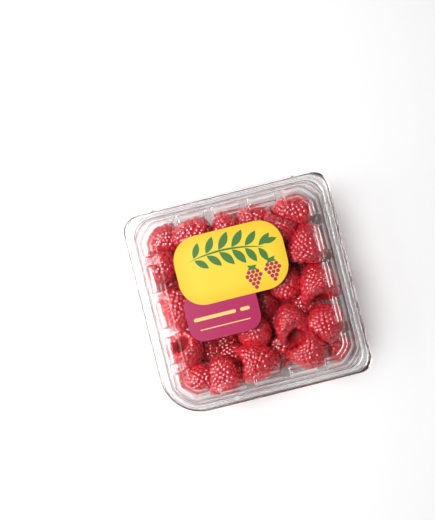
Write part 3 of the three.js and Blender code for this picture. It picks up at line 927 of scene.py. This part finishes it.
def uneven(points, berry, lumps):
    """Makes a berry less round: it is squashed across, bent along its length, given two and three
    broad lumps round it, drawn in towards the tip by cone and drawn back along its rim by slant
    and saddle. lumps holds the amounts and phases."""
    squash, bend, two, three, phase_two, phase_three = lumps
    angle = np.arctan2(points[:, 1], points[:, 0])
    share = points[:, 2] / berry.length
    radial = 1 + two * np.sin(2 * angle + phase_two) + three * np.sin(3 * angle + phase_three)
    radial -= berry.cone * share
    out = points.copy()
    out[:, 0] *= radial * (1 + squash)
    out[:, 1] *= radial * (1 - squash)
    radius = berry.width / 2
    near_rim = 2.2 * np.clip(0.1 - share, 0, 0.6) ** 1.5
    up, aside = -out[:, 0] / radius, out[:, 1] / radius
    drawn_back = 0.8 * berry.slant * up + 0.5 * berry.saddle * (up**2 - aside**2)
    out[:, 2] += radius * near_rim * drawn_back
    out[:, 0] += bend * berry.length * (share**2 - 0.1)
    return out


def rotation(axis, degrees):
    """The matrix that turns rows of points about an axis."""
    return np.array(Matrix.Rotation(math.radians(degrees), 3, axis)).T


def pressed(points):
    """Points kept inside the box: where fruit meets a wall, a corner, the floor or the lid it is
    flattened against it."""
    out = points.copy()
    limit = np.interp(out[:, 2], WALL_HEIGHTS, WALL_LIMITS)
    for axis in (0, 1):
        out[:, axis] = np.clip(out[:, axis], -limit, limit)
    reach = np.abs(out[:, 0]) + np.abs(out[:, 1])
    spare = np.minimum(0, (2 * limit - CORNER_LOSS) - reach) / 2
    for axis in (0, 1):
        out[:, axis] += np.sign(out[:, axis]) * spare
    out[:, 2] = np.clip(out[:, 2], FRUIT_FLOOR, FRUIT_CEILING)
    return out


def lower_berries(seed):
    """The lower layer, which stands in rows on the floor, without the places of deep berries."""
    stream = random_stream(seed)
    rows = []
    for column in LOWER_ROWS:
        for row in LOWER_ROWS:
            dx, dy, length, width, heading, lean, top = (next(stream) for _ in range(7))
            x, y = column * LOWER_PITCH + (dx - 0.5) * 4, row * LOWER_PITCH + (dy - 0.5) * 4
            if all(math.hypot(deep.x - x, deep.y - y) >= 12 for deep in DEEP_BERRIES):
                rows.append(Berry(
                    x, y, 23 + top * 3, 19 + length * 4, 18.5 + width * 3, heading * 360,
                    40 + lean * 100))
    return rows


def hair_tubes(tops, normals, longest, random):
    """Dry hairs on some drupelets: three-sided tubes along a line that leaves by the normal and
    curls aside, thinner towards the end."""
    chosen = random.random(len(tops)) < 0.35
    tops, normals = tops[chosen], normals[chosen]
    count = len(tops)
    first, second = side_axes(normals)
    aside = random.normal(size=(count, 2)) * 0.55
    lean = first * aside[:, :1] + second * aside[:, 1:]
    length = longest * (0.4 + 0.6 * random.random(count))[:, None, None]
    steps = np.linspace(0, 1, 4)[None, :, None]
    line = (tops - normals * 0.1)[:, None, :] + length * (
        normals[:, None, :] * (steps - 0.35 * steps**2) + lean[:, None, :] * (0.4 * steps + steps**2))
    around = np.arange(3) / 3 * 2 * math.pi
    thick = 0.042 * (1 - 0.6 * steps)
    cos, sin = np.cos(around)[:, None], np.sin(around)[:, None]
    ring = (first[:, None] * cos + second[:, None] * sin)[:, None]
    points = line[:, :, None] + ring * thick[..., None]
    faces = np.concatenate([halved(ring_faces(4, 3, False)), [[0, 1, 2], [11, 10, 9]]])
    all_faces = (faces[None] + (np.arange(count) * 12)[:, None, None]).reshape(-1, 3)
    return points.reshape(-1, 3), all_faces


class Gathered:
    """Points, faces and values of several shapes, joined into one mesh."""

    def __init__(self):
        self.points, self.faces, self.values, self.count = [], [], {}, 0

    def add(self, points, faces, **values):
        self.points.append(points)
        self.faces.append(faces + self.count)
        self.count += len(points)
        for label, value in values.items():
            self.values.setdefault(label, []).append(value)

    def make(self, name, material):
        values = {label: np.concatenate(rows) for label, rows in self.values.items()}
        points, faces = np.concatenate(self.points), np.concatenate(self.faces)
        return make_object(name, points, faces, material, values)


def build_layer(rows, fine, random, skins, bodies, hairs, style):
    """Adds every berry of a layer to the gathered skins, bodies and, if given, hairs. The lower
    layer, which isn't fine, is darker all over as painted shade deep in the heap."""
    pitch = style.pitch / MM
    segments, polar = (9, [24, 44, 64]) if fine else (7, [28, 52, 76])
    for berry in rows:
        amounts = random.random(4) * 2 - 1
        lumps = [*(amounts * [0.03, 0.09, 0.025, 0.025]), *(random.random(2) * 2 * math.pi)]
        spin = rotation("Z", random.random() * 360)
        pose = rotation("Y", berry.lean) @ rotation("Z", berry.heading)
        own_pitch = pitch * (0.94 + 0.14 * random.random())
        points, faces, ripeness, seam, tops, normals = drupelets(
            berry.length, berry.width, own_pitch, segments, polar, random)
        # Upper berries get a random ripeness; the lower layer's low value is painted shade
        ripeness_and_depth_shade = 0.3 + 0.5 * random.random() if fine else 0.1

        def placed(some, drop):
            shaped = uneven(some @ spin, berry, lumps)
            return shaped @ pose + [berry.x, berry.y, berry.top - drop]

        drop = placed(points, 0)[:, 2].max() - berry.top
        # On the lower layer the crevice mask is at least 0.5 everywhere: painted shade
        skins.add(pressed(placed(points, drop)), faces,
                  ripeness=ripeness_and_depth_shade + (ripeness - 0.5) * 0.4,
                  seam=seam if fine else np.maximum(seam, 0.5))
        body, body_faces = cup_body(berry.length, berry.width, own_pitch, 20)
        bodies.add(pressed(placed(body, drop)), body_faces)
        if hairs:
            hair, hair_faces = hair_tubes(
                placed(tops, drop), normals @ spin @ pose, style.hair_length / MM, random)
            hairs.add(pressed(hair), hair_faces)


def core_of_fruit():
    """The fruit in the middle of the heap that nothing shows: a block with rounded corners, from
    rings of (half side, height)."""
    angle = np.arange(40) / 40 * 2 * math.pi
    square = np.maximum(np.abs(np.cos(angle)), np.abs(np.sin(angle))) ** -0.8
    half, height = np.array(CORE_RINGS).T[..., None]
    poles = [[0, 0, CORE_RINGS[0][1]], [0, 0, CORE_RINGS[-1][1]]]
    return closed_rings(about_axis(half * square, angle, height), poles, False)


class PUNNET_OT_tray(bpy.types.Operator):
    """Make the clear fluted tray that holds the fruit"""

    bl_idname = "punnet.make_tray"
    bl_label = "Tray"

    def execute(self, context):
        tray = pressed_sheet(
            "tray_sheet", FLUTES, (tray_profile(0), tray_profile(FLUTE_DEPTH)), TRAY_BENDS,
            sheet_material("clear_tray", 0.25, 0.35))
        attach(tray, "tray")
        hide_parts("tray")
        return {"FINISHED"}


class PUNNET_OT_lid(bpy.types.Operator):
    """Make the clear lid with its notched ridge"""

    bl_idname = "punnet.make_lid"
    bl_label = "Lid"

    def execute(self, context):
        lid = pressed_sheet(
            "lid_sheet", NOTCHES, (lid_profile(RIDGE_TOP), lid_profile(PANEL_Z + 0.05)),
            LID_BENDS, sheet_material("clear_lid", 0.1, 0.35), raise_buttons)
        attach(lid, "lid")
        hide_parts("lid")
        return {"FINISHED"}


class PUNNET_OT_hinge(bpy.types.Operator):
    """Make the thin film that joins the two back flanges"""

    bl_idname = "punnet.make_hinge"
    bl_label = "Hinge film"

    def execute(self, context):
        radius = HINGE_HIGH[1] - HINGE_LOW[1]
        centre_y, centre_z = HINGE_LOW[1], (HINGE_LOW[2] + HINGE_HIGH[2]) / 2
        angle = np.linspace(-math.pi / 2, math.pi / 2, 13)
        arc = np.stack([np.cos(angle), np.sin(angle)], axis=1)
        section = np.concatenate([arc * radius, arc[::-1] * (radius - FILM)])
        stations = np.linspace(HINGE_LOW[0], HINGE_HIGH[0], 45)
        count = len(section)
        points = np.empty((len(stations), count, 3))
        points[..., 0] = stations[:, None]
        points[..., 1:] = section + [centre_y, centre_z]
        half = np.arange(count // 2 - 1)
        end = np.stack([half, half + 1, count - 2 - half, count - 1 - half], axis=1)
        far_end = end + (len(stations) - 1) * count
        faces = np.concatenate([ring_faces(len(stations), count, False), end[:, ::-1], far_end])
        hinge = make_object(
            "hinge_film", points.reshape(-1, 3), faces, sheet_material("clear_film", 0.1, 0.05),
            {"across": np.tile(np.arange(count) * 0.2, len(stations))})
        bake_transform(hinge)
        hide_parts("hinge")
        return {"FINISHED"}


class PUNNET_OT_fruit(bpy.types.Operator):
    """Make the raspberries: drupelet skins, the cupped bodies under them and dry hairs"""

    bl_idname = "punnet.make_fruit"
    bl_label = "Raspberries"

    def execute(self, context):
        style = context.scene.punnet_fruit
        random = np.random.default_rng(style.seed)
        material = fruit_material()
        upper, lower, bodies, hairs = (Gathered() for _ in range(4))
        build_layer(UPPER_BERRIES, True, random, upper, bodies, hairs, style)
        deep = DEEP_BERRIES + lower_berries(style.seed)
        build_layer(deep, False, random, lower, bodies, None, style)
        pieces = [
            upper.make("berries_upper", material),
            lower.make("berries_lower", material),
            make_object("heap_middle", *core_of_fruit(), core_material()),
            bodies.make("berry_bodies", flesh_material()),
            hairs.make("berry_hairs", hair_material()),
        ]
        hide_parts("berries")
        for piece in pieces:
            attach(piece, "tray")
        return {"FINISHED"}


class PUNNET_OT_sticker(bpy.types.Operator):
    """Print the sticker on the lid: a leafy sprig and two berries over a plain lower field"""

    bl_idname = "punnet.make_sticker"
    bl_label = "Sticker"

    def execute(self, context):
        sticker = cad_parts["sticker"]
        sticker.data.materials.clear()
        sticker.data.materials.append(print_material())
        return {"FINISHED"}


def add_lamp(name, place, width, height, watts):
    """A rectangular white lamp that faces the punnet."""
    light = bpy.data.lights.new(name, "AREA")
    light.shape = "RECTANGLE"
    light.size, light.size_y = width, height
    light.energy = watts
    lamp = bpy.data.objects.new(name, light)
    direction = np.array([0, 0, 0.02]) - np.array(place)
    direction /= np.linalg.norm(direction)
    lamp.location = place
    lamp.rotation_euler = (
        math.acos(-direction[2]), 0, math.atan2(direction[1], direction[0]) - math.pi / 2)
    bpy.context.scene.collection.objects.link(lamp)
    return lamp


def make_surround(strength):
    """A surround that is bright near the horizon, most on the left, and dark above, so that the
    flat lid mirrors no haze."""
    world = bpy.data.worlds.new("studio")
    world.use_nodes = True
    graph = Graph(world.node_tree)
    direction = graph.node("TexCoord").outputs["Generated"]
    up = graph.node("SeparateXYZ", Vector=direction).outputs["Z"]
    towards = graph.vectors("DOT_PRODUCT", direction, BRIGHT_SIDE)
    by_height = graph.share(up, 0.3, 0.6, 1.0, 0.02)
    light = graph.maths("MULTIPLY", by_height, graph.share(towards, -0.8, 0.8, 0.7))
    sky = graph.node(
        "Background", Color=(1, 1, 1, 1), Strength=graph.maths("MULTIPLY", light, strength))
    graph.node("OutputWorld", Surface=sky.outputs[0])
    bpy.context.scene.world = world


class PUNNET_OT_stage(bpy.types.Operator):
    """Set up the floor, the lights and the camera"""

    bl_idname = "punnet.make_stage"
    bl_label = "Stage"

    def execute(self, context):
        style = context.scene.punnet_stage
        corners = np.array([[-1, -1, 0], [1, -1, 0], [1, 1, 0], [-1, 1, 0]]) * FLOOR_HALF
        make_object("floor", corners, np.array([[0, 1, 2, 3]]), floor_material())
        make_surround(style.sky)
        add_lamp("key_lamp", KEY_PLACE, *KEY_SIZE, style.key_watts)
        add_lamp("left_strip", STRIP_PLACE, *STRIP_SIZE, style.key_watts * STRIP_SHARE)
        self.make_camera(context, style.lens)
        context.scene.view_settings.view_transform = "Standard"
        context.scene.view_settings.look = "None"
        return {"FINISHED"}

    def make_camera(self, context, lens):
        """A camera straight above, rolled and shifted to the photograph's framing. Its height puts
        the photograph's scale at the level of the flanges."""
        data = bpy.data.cameras.new("camera")
        data.sensor_width = SENSOR_MM
        data.lens = lens
        frame_mm = IMAGE_HEIGHT / PIXELS_PER_MM
        data.shift_x = -(CENTRE_PIXEL[0] - IMAGE_WIDTH / 2) / IMAGE_HEIGHT
        data.shift_y = (CENTRE_PIXEL[1] - IMAGE_HEIGHT / 2) / IMAGE_HEIGHT
        camera = bpy.data.objects.new("camera", data)
        camera.location = (0, 0, (LID_FLANGE_Z + frame_mm * lens / SENSOR_MM) * MM)
        camera.rotation_euler = (0, 0, -math.radians(BOX_ROLL))
        context.scene.collection.objects.link(camera)
        context.scene.camera = camera


class PUNNET_PT_panel(bpy.types.Panel):
    """Lists the pieces of the punnet"""

    bl_idname = "PUNNET_PT_panel"
    bl_label = "Punnet"
    bl_space_type = "VIEW_3D"
    bl_region_type = "UI"
    bl_category = "Punnet"

    def draw(self, context):
        for piece in PIECES:
            self.layout.operator(piece.bl_idname)
        for group in SETTINGS:
            settings = getattr(context.scene, group)
            for name in settings.bl_rna.properties.keys():
                if name not in ("rna_type", "name"):
                    self.layout.prop(settings, name)


SETTINGS = {
    "punnet_sheet": PunnetSheet,
    "punnet_fruit": PunnetFruit,
    "punnet_sticker": PunnetSticker,
    "punnet_stage": PunnetStage,
}
PIECES = (
    PUNNET_OT_stage,
    PUNNET_OT_tray,
    PUNNET_OT_lid,
    PUNNET_OT_hinge,
    PUNNET_OT_fruit,
    PUNNET_OT_sticker,
)


def register():
    for group in (*SETTINGS.values(), *PIECES, PUNNET_PT_panel):
        bpy.utils.register_class(group)
    for name, group in SETTINGS.items():
        setattr(bpy.types.Scene, name, PointerProperty(type=group))


def unregister():
    for name in SETTINGS:
        delattr(bpy.types.Scene, name)
    for group in (PUNNET_PT_panel, *PIECES[::-1], *SETTINGS.values()):
        bpy.utils.unregister_class(group)


def main():
    register()
    bpy.ops.punnet.make_stage()
    bpy.ops.punnet.make_tray()
    bpy.ops.punnet.make_lid()
    bpy.ops.punnet.make_hinge()
    bpy.ops.punnet.make_fruit()
    bpy.ops.punnet.make_sticker()


if __name__ == "__main__":
    main()
